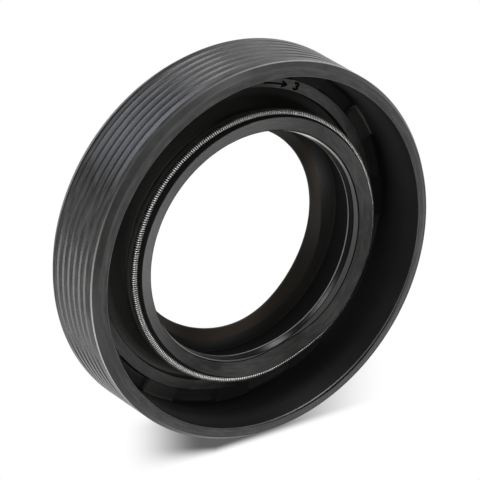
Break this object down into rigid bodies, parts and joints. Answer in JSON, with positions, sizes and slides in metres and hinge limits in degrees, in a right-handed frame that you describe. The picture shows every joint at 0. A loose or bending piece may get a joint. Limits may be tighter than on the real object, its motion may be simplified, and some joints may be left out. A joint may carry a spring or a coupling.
{
  "type": "radial shaft seal",
  "caption": "Black rubber radial shaft seal with a rilled press-fit rim, open spring side, garter spring around its sealing lip and a dust lip.",
  "frame": {"origin": "centre of the flat air-side face, on the shaft's axis; the seal lies on that face", "axes": "+Z along the shaft's axis towards the open spring side; +X through the middle of a locator pad"},
  "size_m": [0.056, 0.056, 0.012],
  "materials": {
    "nitrile_rubber": "moulded, satin",
    "spring_steel": "drawn wire, bright"
  },
  "bodies": {
    "root": {"seal_body": "nitrile_rubber", "garter_spring": "spring_steel"}
  },
  "joints": []
}
